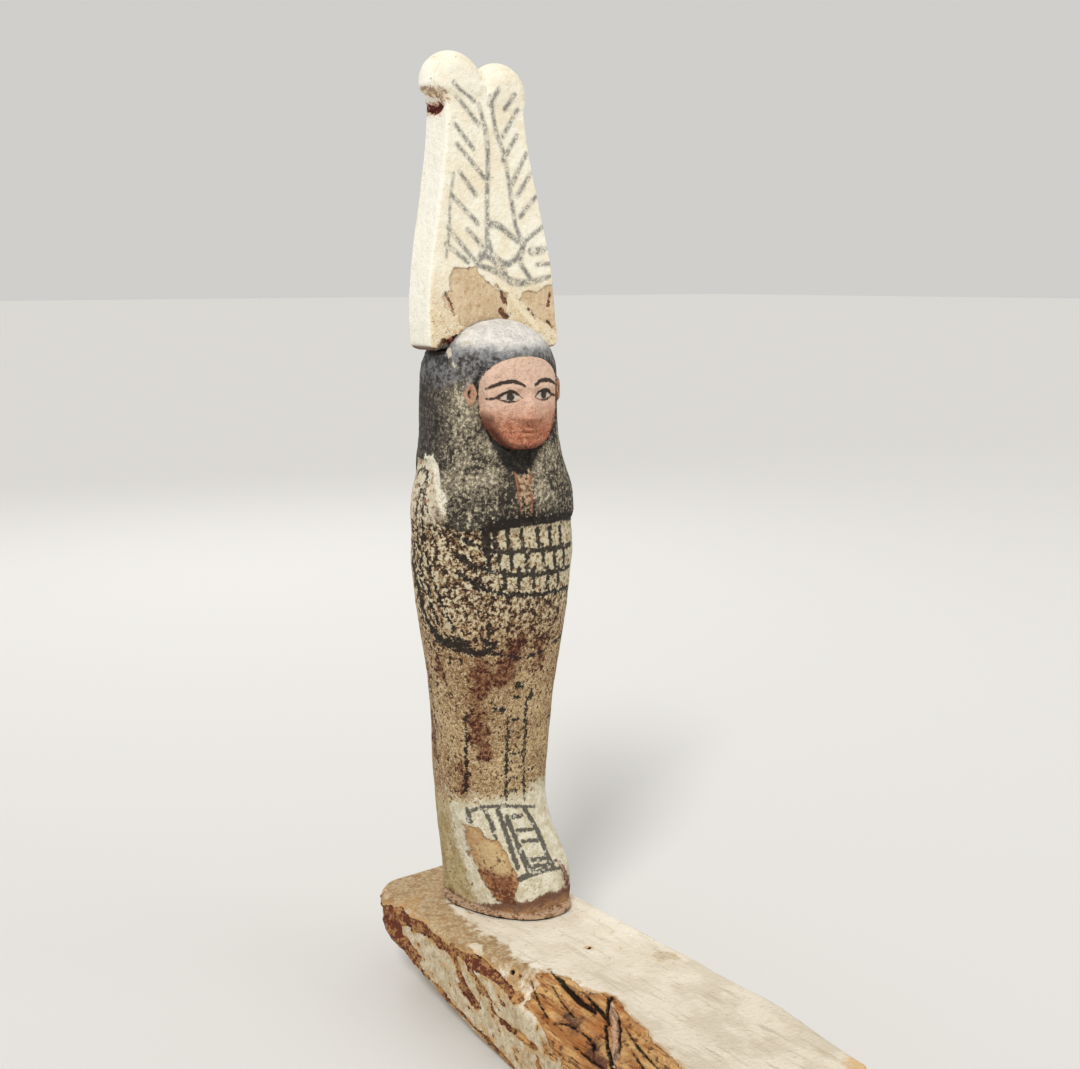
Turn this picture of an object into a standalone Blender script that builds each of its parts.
"""A painted wooden funerary figure: a mummy-shaped body with a long wig, a crown of two tall plumes on
its head, and a long rough base that it stands on. Metres, +Z up, the figure faces -Y, and its left is +X.

The three pieces of wood are three objects: base, figure and crown. They rest on each other with GAP between.
"""

import math

import bmesh
import bpy
import numpy as np

# Fits
GAP = 0.0003  # left between two pieces that rest on each other

# Figure, from its sole to the top of the wig
FIGURE_HEIGHT = 0.396
FIGURE_TURN = 60  # points round each ring of the figure
FACE_HEIGHT = 0.060  # chin to hairline
FACE_WIDTH = 0.058
WIG_RELIEF = 0.0020  # how far the wig stands out from the chest and shoulders
EAR_DEPTH = 0.0034
FOOT_SKEW = 0.19  # the toes point this much to the figure's left, sideways for each metre forwards
RIM_HEIGHT = 0.005  # the thin rim round the sole
RIM_HALF_WIDTH = 0.0335
RIM_FRONT = 0.0565  # how far it reaches in front of the axis
RIM_BACK = 0.0350
RIM_SQUARENESS = 2.3  # 2 is an ellipse

# The ledge cut in the top of the head, which the crown stands on
LEDGE_DROP = 0.020  # below the top of the wig
LEDGE_FRONT = 0.0064  # the ledge's wall, in front of the figure's axis

# Crown, a board carved as two plumes with curled tips
CROWN_HEIGHT = 0.184
CROWN_WIDTH = 0.102  # across the bottom
CROWN_THICKNESS = 0.025
CROWN_LEAN = math.radians(3.5)  # backwards
CROWN_EDGE = 0.0025  # rounding of the board's edges
CORNER_RADIUS = 0.006  # the board's two worn bottom corners
NECK_WIDTH = 0.060  # just under the curled tips
TAPER_START = 0.015  # height above the board's bottom where it begins to narrow
RIGHT_TIP_RADIUS = 0.0185  # the curled tip over the figure's right side, the larger one
LEFT_TIP_RADIUS = 0.0165
TIP_STEP = 0.008  # how much lower the left tip ends
TIP_OVERLAP = 0.0010  # how far each tip's circle runs past the board's middle
NOTCH_DEPTH = 0.018  # from the top of the right tip to the notch between the tips

# Base, a long block with worn corners
BASE_THICKNESS = 0.062
BASE_REAR = 0.064  # behind the figure's axis
BASE_FRONT = 0.302  # in front of the figure's axis
BASE_LEFT = 0.043  # to the figure's left of its axis
BASE_RIGHT = 0.064
BASE_EDGE = 0.003  # rounding along the sound edges
REAR_CORNER = 0.025  # plan radius of the two rear corners
FRONT_CORNER = 0.006
FRONT_TAPER = 0.010  # how far the left side comes in towards the front end
FRONT_TAPER_LENGTH = 0.090
BREAK_WIDTH = 0.032  # the broken top edge on the figure's right, where it is widest
BREAK_DROP = 0.022  # how far down the side that break runs
BREAK_PLACE = 0.222  # its middle, from the rear end
BREAK_REACH = 0.068  # half its length
WEAR_RISE = 0.043  # the underside is worn away this far up the right side, at the rear end
WEAR_WIDTH = 0.046  # and this far in
WEAR_LENGTH = 0.175  # along the base, from the rear end


def clear_scene():
    for old in list(bpy.data.objects):
        bpy.data.objects.remove(old, do_unlink=True)


def smooth(low, high, x):
    """0 up to low, 1 from high on, and an S-shaped rise between."""
    t = np.clip((np.asarray(x, float) - low) / (high - low), 0.0, 1.0)
    return t * t * (3 - 2 * t)


def hump(x, centre, width):
    """A rounded bump of height 1 that fades to nothing about two widths from its centre."""
    return np.exp(-(((x - centre) / width) ** 2))


def through(x, places, values):
    """A smooth curve through the values at the places, as a batten would bend."""
    slopes = np.gradient(values, places)
    x = np.clip(x, places[0], places[-1])
    i = np.clip(np.searchsorted(places, x) - 1, 0, len(places) - 2)
    step = places[i + 1] - places[i]
    t = (x - places[i]) / step
    start, end = values[i], values[i + 1]
    return (
        start * (1 + 2 * t) * (1 - t) ** 2
        + end * t * t * (3 - 2 * t)
        + slopes[i] * step * t * (1 - t) ** 2
        + slopes[i + 1] * step * t * t * (t - 1)
    )


# The figure's sections, as shares of its height: height, half width, depth in front of the axis, depth behind it,
# and squareness, where 2 is an ellipse and 4 a box with round corners.
SECTIONS = {
    "sole": (0.000, 0.073, 0.127, 0.082, 3.6),
    "toes": (0.040, 0.075, 0.127, 0.083, 3.8),
    "toe_top": (0.064, 0.076, 0.124, 0.084, 3.8),
    "foot": (0.110, 0.081, 0.096, 0.088, 3.6),
    "instep": (0.150, 0.087, 0.076, 0.093, 3.1),
    "ankle": (0.182, 0.092, 0.065, 0.098, 2.7),
    "calf": (0.245, 0.098, 0.065, 0.104, 2.5),
    "knee": (0.330, 0.105, 0.072, 0.097, 2.4),
    "thigh": (0.420, 0.117, 0.081, 0.089, 2.4),
    "waist": (0.495, 0.132, 0.089, 0.088, 2.35),
    "elbow": (0.570, 0.142, 0.092, 0.090, 2.35),
    "chest": (0.650, 0.150, 0.095, 0.092, 2.35),
    "shoulder": (0.690, 0.150, 0.096, 0.099, 2.3),
    "shoulder_top": (0.728, 0.143, 0.096, 0.107, 2.2),
    "nape": (0.765, 0.129, 0.095, 0.117, 2.1),
    "jaw": (0.805, 0.117, 0.093, 0.125, 2.1),
    "temple": (0.860, 0.114, 0.092, 0.126, 2.1),
    "crown": (0.910, 0.114, 0.093, 0.123, 2.05),
    "top": (1.000, 0.114, 0.094, 0.122, 2.0),
}
DOME_START = 0.905  # above this share of the height the wig closes over
DOME_SQUARENESS = 2.1
CHIN = 0.790
LAPPET_HEM = 0.668  # lower end of the wig at the front, then at the sides and at the back
SIDE_HEM = 0.775
BACK_HEM = 0.705
LAPPET_EDGE = (1.05, 1.45)  # turns, in radians from the front, over which the hem climbs to the side
BACK_EDGE = (2.10, 2.50)  # and over which it drops again to the back
PARTING = 0.0115  # half the gap between the lappets at the hem
PARTING_SPREAD = 0.5  # how much wider it is under the chin, as a share
EAR_PLACE = (0.088, 0.885)  # sideways and up
EAR_SIZE = (0.0105, 0.0240)
NOTHING_BEHIND = (0.0, 0.010)  # the face and ears fade out over these depths in front of the axis


def rounded_box(turn, half, front, back, square):
    """Distance from the middle of a section to its edge: |x / half| and |y / depth| to the power of square add to 1."""
    depth = np.where(np.cos(turn) > 0, front, back)
    across = np.abs(np.sin(turn)) / half
    along = np.abs(np.cos(turn)) / depth
    return (across**square + along**square) ** (-1 / square)


def envelope(turn, z):
    """Distance from the axis of the figure's plain outer form at height z, turn radians from the front."""
    share = z / FIGURE_HEIGHT
    places, half, front, back, square = np.array(list(SECTIONS.values())).T
    half, front, back, square = (through(share, places, v) for v in (half, front, back, square))
    rise = np.clip((share - DOME_START) / (1 - DOME_START), 0, 1)
    close = (1 - rise**DOME_SQUARENESS) ** (1 / DOME_SQUARENESS)
    return FIGURE_HEIGHT * close * rounded_box(turn, half, front, back, square)


def hem_height(turn):
    """Height of the wig's lower edge, as a share of the figure's."""
    away = np.abs(turn)
    to_side = smooth(*LAPPET_EDGE, away)
    to_back = smooth(*BACK_EDGE, away)
    return LAPPET_HEM + (SIDE_HEM - LAPPET_HEM) * to_side - (SIDE_HEM - BACK_HEM) * to_back


def hair(turn, x, z):
    """1 where the wig covers the body, 0 where the body is bare."""
    share = z / FIGURE_HEIGHT
    above = smooth(-0.003, 0.003, share - hem_height(turn))
    gap = PARTING * FIGURE_HEIGHT * (1 + PARTING_SPREAD * smooth(LAPPET_HEM, CHIN, share))
    closed = smooth(0.8 * gap, 1.2 * gap, np.abs(x))
    closed = np.maximum(closed, smooth(*LAPPET_EDGE, np.abs(turn)))
    return above * np.maximum(closed, smooth(CHIN - 0.01, CHIN + 0.01, share))


def face_relief(u, v):
    """How far the features of a calm, plain face stand out. u is 1 at the face's sides, v is 0 at the chin and 1 at
    the hairline. The eyes lie halfway up the head, the nose and the brow share the rest in thirds."""
    side = np.abs(u)
    ridge = hump(u, 0, 0.15 + 0.12 * smooth(0.62, 0.36, v))
    nose = 0.110 * ridge * smooth(0.72, 0.37, v) * smooth(0.315, 0.36, v)
    brow = 0.027 * hump(v, 0.69 - 0.05 * side, 0.045) * smooth(0.95, 0.6, side)
    socket = -0.048 * hump(side, 0.43, 0.26) * hump(v, 0.595, 0.060)
    ball = 0.040 * hump(side, 0.43, 0.17) * hump(v, 0.585, 0.034)
    cheek = 0.024 * hump(side, 0.50, 0.26) * hump(v, 0.40, 0.13)
    lips = 0.042 * hump(u, 0, 0.25) * (hump(v, 0.240, 0.026) + hump(v, 0.180, 0.028))
    parting = -0.022 * hump(u, 0, 0.24) * hump(v, 0.212, 0.012)
    chin = 0.046 * hump(u, 0, 0.30) * hump(v, 0.075, 0.065)
    return FACE_HEIGHT * (nose + brow + socket + ball + cheek + lips + parting + chin)


def face(x, z):
    """How far in front of the axis the face lies, and a mask that is 1 inside the wig's opening for it."""
    u = x / (FACE_WIDTH / 2)
    v = (z - CHIN * FIGURE_HEIGHT) / FACE_HEIGHT
    oval = np.sqrt(np.clip(1 - (u / 1.1) ** 2, 0, 1))
    depth = 0.062 + 0.039 * oval - 0.007 * smooth(0.75, 1.05, v) - 0.004 * smooth(0.25, 0.0, v)
    narrow = 1 - 0.32 * smooth(0.45, 0.0, v) - 0.12 * smooth(0.75, 1.0, v)
    reach = np.sqrt((u / narrow) ** 2 + (2 * (v - 0.5)) ** 6)
    inside = (1 - smooth(0.90, 1.06, reach)) * smooth(-0.03, 0.04, v)
    return FIGURE_HEIGHT * depth + face_relief(u, v), inside


def ears(x, z):
    """How far two small upright ears stand out: a rim round a shallow hollow."""
    out = (np.abs(x) / FIGURE_HEIGHT - EAR_PLACE[0]) / EAR_SIZE[0]
    up = (z / FIGURE_HEIGHT - EAR_PLACE[1]) / EAR_SIZE[1]
    ring = np.sqrt(out**2 + up**2)
    return EAR_DEPTH * hump(ring, 0.6, 0.5)


def figure_point(turn, z):
    """The carved surface: points at height z, turn radians from the front towards the figure's left."""
    z = np.broadcast_to(z, turn.shape).astype(float)
    radius = envelope(turn, z)
    rim = rounded_box(turn, RIM_HALF_WIDTH, RIM_FRONT, RIM_BACK, RIM_SQUARENESS)
    rim = rim * (1 - smooth(0.5 * RIM_HEIGHT, RIM_HEIGHT, z))
    radius = np.maximum(radius, rim)
    covered = hair(turn, radius * np.sin(turn), z)
    radius = radius + WIG_RELIEF * (covered - 1) * smooth(0.60, 0.66, z / FIGURE_HEIGHT)
    x, y = radius * np.sin(turn), -radius * np.cos(turn)
    facing = smooth(*NOTHING_BEHIND, -y / FIGURE_HEIGHT)
    front, inside = face(x, z)
    y = y - ((front + y) * inside + ears(x, z) * (1 - inside)) * facing
    x = x + FOOT_SKEW * np.maximum(-y, 0) * (1 - smooth(0.09, 0.18, z / FIGURE_HEIGHT))
    return np.stack([x, y, z], -1)


def ring_turns():
    """Turns round a ring, closer together across the face and the ears."""
    even = np.linspace(-math.pi, math.pi, FIGURE_TURN, endpoint=False) + math.pi / FIGURE_TURN
    return even - 0.50 * np.sin(even) + 0.04 * np.sin(2 * even)


def figure_heights():
    """Heights of the figure's rings, closer together at the toes, the hem and the face."""
    spans = (
        (0.0, 0.016, 3),
        (0.016, 0.17, 9),
        (0.17, 0.655, 11),
        (0.655, 0.68, 4),
        (0.68, 0.785, 8),
        (0.785, 0.95, 25),
    )
    levels = np.concatenate([np.linspace(a, b, n, endpoint=False) for a, b, n in spans])
    first = math.asin((0.95 - DOME_START) / (1 - DOME_START))
    closing = DOME_START + (1 - DOME_START) * np.sin(np.linspace(first, math.pi / 2, 8)[:-1])
    return np.concatenate([levels, closing]) * FIGURE_HEIGHT


def skin(bm, rings, bottom, top):
    """Joins rings of points with quads, and closes each end on a middle point."""
    loops = [[bm.verts.new(p) for p in ring] for ring in rings]
    count = len(loops[0])
    for low, high in zip(loops, loops[1:]):
        for k in range(count):
            n = (k + 1) % count
            bm.faces.new((low[k], low[n], high[n], high[k]))
    foot, peak = bm.verts.new(bottom), bm.verts.new(top)
    for k in range(count):
        n = (k + 1) % count
        bm.faces.new((loops[0][n], loops[0][k], foot))
        bm.faces.new((loops[-1][k], loops[-1][n], peak))
    bmesh.ops.recalc_face_normals(bm, faces=bm.faces)


def finish(name, colour, roughness):
    material = bpy.data.materials.new(name)
    material.use_nodes = True
    shader = material.node_tree.nodes["Principled BSDF"]
    shader.inputs["Base Color"].default_value = (*colour, 1)
    shader.inputs["Roughness"].default_value = roughness
    shader.inputs["Metallic"].default_value = 0.0
    return material


def add(name, bm, place, material, crease=math.radians(40)):
    mesh = bpy.data.meshes.new(name)
    bm.to_mesh(mesh)
    bm.free()
    mesh.shade_smooth()
    mesh.set_sharp_from_angle(angle=crease)
    mesh.materials.append(material)
    made = bpy.data.objects.new(name, mesh)
    bpy.context.scene.collection.objects.link(made)
    made.location = place
    return made


def cut_box(target, name, low, high):
    """Cuts a plain box, from corner low to corner high, out of the target."""
    bm = bmesh.new()
    bmesh.ops.create_cube(bm, size=1)
    for v in bm.verts:
        v.co = [a + (b - a) * (c + 0.5) for a, b, c in zip(low, high, v.co)]
    mesh = bpy.data.meshes.new(name)
    bm.to_mesh(mesh)
    bm.free()
    cutter = bpy.data.objects.new(name, mesh)
    bpy.context.scene.collection.objects.link(cutter)
    cutter.hide_render = True
    cutter.display_type = "WIRE"
    modifier = target.modifiers.new(name, "BOOLEAN")
    modifier.operation = "DIFFERENCE"
    modifier.object = cutter


def figure_rings():
    turns = ring_turns()
    return [figure_point(turns, z) for z in figure_heights()]


def make_figure(sole):
    """The figure stands with its axis at the place given, which is on its sole."""
    bm = bmesh.new()
    skin(bm, figure_rings(), (0, 0, 0), (0, 0, FIGURE_HEIGHT))
    made = add("figure", bm, sole, finish("painted_gesso", (0.62, 0.53, 0.38), 0.85))
    reach = FIGURE_HEIGHT
    ledge = sole[2] + FIGURE_HEIGHT - LEDGE_DROP
    wall = sole[1] - LEDGE_FRONT
    cut_box(made, "ledge_cutter", (sole[0] - reach, wall, ledge), (sole[0] + reach, wall + reach, ledge + reach))
    return made


def arc(centre, radius, start, end, steps):
    """Points on a circle from angle start to end, in radians."""
    angles = np.linspace(start, end, steps)
    return [(centre[0] + radius * math.cos(a), centre[1] + radius * math.sin(a)) for a in angles]


def half_outline(radius, top):
    """One plume's edge as x outwards and z up, from the bottom corner to the middle, with its tip's radius and top."""
    half, neck = CROWN_WIDTH / 2, NECK_WIDTH / 2
    corner = arc((half - CORNER_RADIUS, CORNER_RADIUS), CORNER_RADIUS, -math.pi / 2, 0, 5)
    centre = (radius - TIP_OVERLAP, top - radius)
    under = -math.acos(min(1, (neck - centre[0]) / radius))
    neck_height = centre[1] + radius * math.sin(under)
    heights = np.linspace(CORNER_RADIUS, neck_height, 14)[1:]
    edge = [(half - (half - neck) * float(smooth(TAPER_START, neck_height + TAPER_START / 2, z)), z) for z in heights]
    tip = arc(centre, radius, under, math.acos(-centre[0] / radius), 18)
    return corner + edge + tip[1:-1]


def crown_outline():
    """The board's outline seen from the front."""
    left = half_outline(LEFT_TIP_RADIUS, CROWN_HEIGHT - TIP_STEP)
    right = half_outline(RIGHT_TIP_RADIUS, CROWN_HEIGHT)
    return left + [(0.0, CROWN_HEIGHT - NOTCH_DEPTH)] + [(-x, z) for x, z in reversed(right)]


def make_crown(foot):
    """The board stands with the middle of its bottom front edge at the place given, and leans back."""
    bm = bmesh.new()
    face_in_front = bm.faces.new([bm.verts.new((x, 0, z)) for x, z in crown_outline()])
    grown = bmesh.ops.extrude_face_region(bm, geom=[face_in_front])
    for v in (g for g in grown["geom"] if isinstance(g, bmesh.types.BMVert)):
        v.co.y += CROWN_THICKNESS
    for v in bm.verts:
        v.co.y += v.co.z * math.tan(CROWN_LEAN)
    bmesh.ops.recalc_face_normals(bm, faces=bm.faces)
    made = add("crown", bm, foot, finish("white_gesso", (0.80, 0.74, 0.60), 0.85))
    rounding = made.modifiers.new("worn_edges", "BEVEL")
    rounding.width = CROWN_EDGE
    rounding.segments = 2
    rounding.limit_method = "ANGLE"
    rounding.angle_limit = math.radians(60)
    return made


def corner_inset(distance, radius):
    """How far a side comes in at this distance from an end whose corner is rounded."""
    short = max(radius - distance, 0.0)
    return radius - math.sqrt(radius**2 - short**2)


def base_corners(along):
    """The corners of a slice across the base, from its top left and over its right side, as x and z."""
    length = BASE_REAR + BASE_FRONT
    ahead = length - along
    ends = corner_inset(along, REAR_CORNER) + corner_inset(ahead, FRONT_CORNER)
    worn = corner_inset(along, BASE_EDGE) + corner_inset(ahead, BASE_EDGE)
    taper = FRONT_TAPER * (1 - float(smooth(0, FRONT_TAPER_LENGTH, ahead)))
    left, right = BASE_LEFT - ends - taper, ends - BASE_RIGHT
    top, bottom = BASE_THICKNESS - worn, worn
    broken = float(hump(along, BREAK_PLACE, BREAK_REACH))
    inwards = BASE_EDGE + (BREAK_WIDTH - BASE_EDGE) * broken
    down = BASE_EDGE + (BREAK_DROP - BASE_EDGE) * broken
    wear = max(1 - along / WEAR_LENGTH, 0.0) ** 1.4
    up = BASE_EDGE + WEAR_RISE * wear
    under = BASE_EDGE + WEAR_WIDTH * wear
    under = min(under, 0.6 * (left - right))
    return (
        (left, top),
        (right + inwards, top),
        (right, top - down),
        (right, bottom + up),
        (right + under, bottom),
        (left, bottom),
    )


def base_slice(along):
    """The slice's outline: straight sides between corners, each corner rounded as a short curve."""
    corners = np.array(base_corners(along))
    points = []
    for before, corner, after in zip(np.roll(corners, 1, 0), corners, np.roll(corners, -1, 0)):
        start = corner + (before - corner) * share_of(BASE_EDGE, before - corner)
        end = corner + (after - corner) * share_of(BASE_EDGE, after - corner)
        for t in (0.0, 0.5, 1.0):
            points.append((1 - t) ** 2 * start + 2 * t * (1 - t) * corner + t * t * end)
        other = after + (corner - after) * share_of(BASE_EDGE, after - corner)
        points += [end + (other - end) * k / 3 for k in (1, 2)]
    return points


def share_of(size, side):
    """The size as a share of a side's length, at most two fifths."""
    return min(0.4, size / max(float(np.hypot(*side)), 1e-9))


def base_stations():
    """Distances of the slices from the rear end, closer together at the rounded ends."""
    length = BASE_REAR + BASE_FRONT
    rear = REAR_CORNER * (1 - np.cos(np.linspace(0, math.pi / 2, 8)[:-1]))
    front = length - FRONT_CORNER * (1 - np.cos(np.linspace(math.pi / 2, 0, 5)))
    return np.concatenate([rear, np.linspace(REAR_CORNER, length - FRONT_CORNER, 17)[:-1], front])


def make_base(place):
    """The base lies with its underside at the height given, under the figure's axis."""
    bm = bmesh.new()
    rings = [[(x, BASE_REAR - along, z) for x, z in base_slice(along)] for along in base_stations()]
    ends = [tuple(np.mean(ring, axis=0)) for ring in (rings[0], rings[-1])]
    skin(bm, rings, *ends)
    return add("base", bm, place, finish("worn_gesso", (0.74, 0.66, 0.50), 0.9))


def main():
    clear_scene()
    shoulder = float(np.max(np.concatenate(figure_rings())[:, 0]))
    axis_x = (max(BASE_RIGHT, shoulder) - max(BASE_LEFT, shoulder)) / 2
    axis_y = (BASE_FRONT - BASE_REAR) / 2
    sole = BASE_THICKNESS + GAP
    make_base((axis_x, axis_y, 0))
    make_figure((axis_x, axis_y, sole))
    make_crown((axis_x, axis_y - LEDGE_FRONT + GAP, sole + FIGURE_HEIGHT - LEDGE_DROP + GAP))


main()
